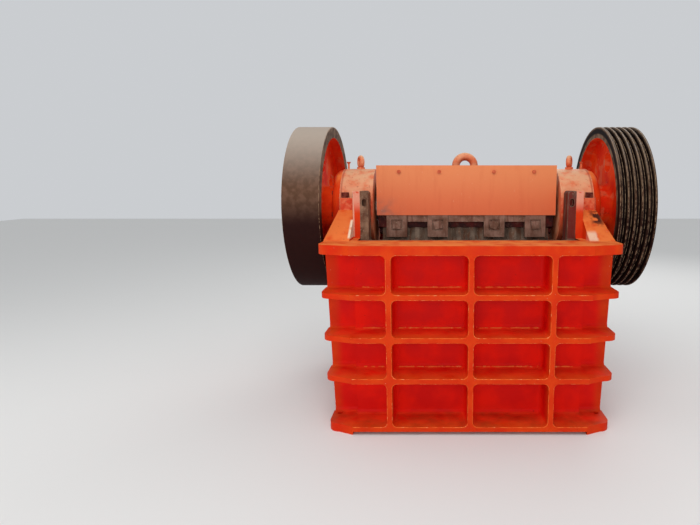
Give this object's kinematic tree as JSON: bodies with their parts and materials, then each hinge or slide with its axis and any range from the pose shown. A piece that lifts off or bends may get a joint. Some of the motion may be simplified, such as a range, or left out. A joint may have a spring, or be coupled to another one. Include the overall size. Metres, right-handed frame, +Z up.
{
  "type": "jaw crusher",
  "caption": "Single-toggle jaw crusher: ribbed cast frame, wide shallow feed mouth, swing jaw on an eccentric shaft, flywheel and belt pulley.",
  "frame": {"origin": "on the floor, midway between the four foundation bolts", "axes": "+X along the shaft from the flywheel to the belt pulley, +Y from the feed mouth to the back, +Z up"},
  "size_m": [1.992, 1.5, 1.635],
  "materials": {
    "frame_paint": "orange-red enamel over cast steel, dusty and chipped",
    "housing_paint": "pale sun-bleached orange enamel",
    "cover_paint": "flat orange enamel on steel plate",
    "manganese_steel": "rough cast wear steel, rusty brown",
    "wheel_iron": "turned cast iron rims, dark with old oil and rust",
    "shaft_steel": "turned steel",
    "bolt_steel": "forged steel bolts, painted over and rusty",
    "bare_steel": "mill finish steel",
    "spring_steel": "dark oil-tempered steel"
  },
  "bodies": {
    "frame": {"front_wall": "frame_paint", "rear_wall": "frame_paint", "right_side_wall": "frame_paint", "left_side_wall": "frame_paint", "fixed_jaw_plate": "manganese_steel", "right_cheek_plate": "manganese_steel", "left_cheek_plate": "manganese_steel", "right_bearing_housing": "housing_paint", "left_bearing_housing": "housing_paint", "right_bearing_cap": "frame_paint", "left_bearing_cap": "frame_paint", "right_housing_bolts": "bolt_steel", "left_housing_bolts": "bolt_steel", "right_housing_eye_bolt": "frame_paint", "left_housing_eye_bolt": "frame_paint", "right_grease_cup": "frame_paint", "left_grease_cup": "frame_paint", "toggle_plate": "manganese_steel", "rear_toggle_seat": "bare_steel", "adjusting_block": "frame_paint", "shim_pack": "bare_steel", "spring_cups": "frame_paint"},
    "shaft": {"eccentric_shaft": "shaft_steel", "flywheel": "wheel_iron", "v_belt_pulley": "wheel_iron", "pulley_end_plate": "frame_paint", "flywheel_end_plate": "frame_paint"},
    "jaw": {"swing_jaw": "frame_paint", "moving_jaw_plate": "manganese_steel", "jaw_clamp_bar": "manganese_steel", "clamp_bolts": "manganese_steel", "head_cover": "cover_paint", "cover_bolts": "cover_paint", "head_lifting_eye": "cover_paint", "front_toggle_seat": "bare_steel", "tension_rods": "bare_steel", "tension_springs": "spring_steel", "spring_nuts": "bolt_steel"}
  },
  "joints": [
    {"name": "shaft_turn", "type": "hinge", "parent": "frame", "child": "shaft", "pos_m": [0, 0.025, 1.15], "axis": [1, 0, 0], "continuous": true},
    {"name": "jaw_on_eccentric", "type": "hinge", "parent": "shaft", "child": "jaw", "pos_m": [0, 0.037, 1.15], "axis": [1, 0, 0], "continuous": true}
  ],
  "couplings": [
    {"joint": "jaw_on_eccentric", "follows": "shaft_turn", "ratio": -1}
  ]
}
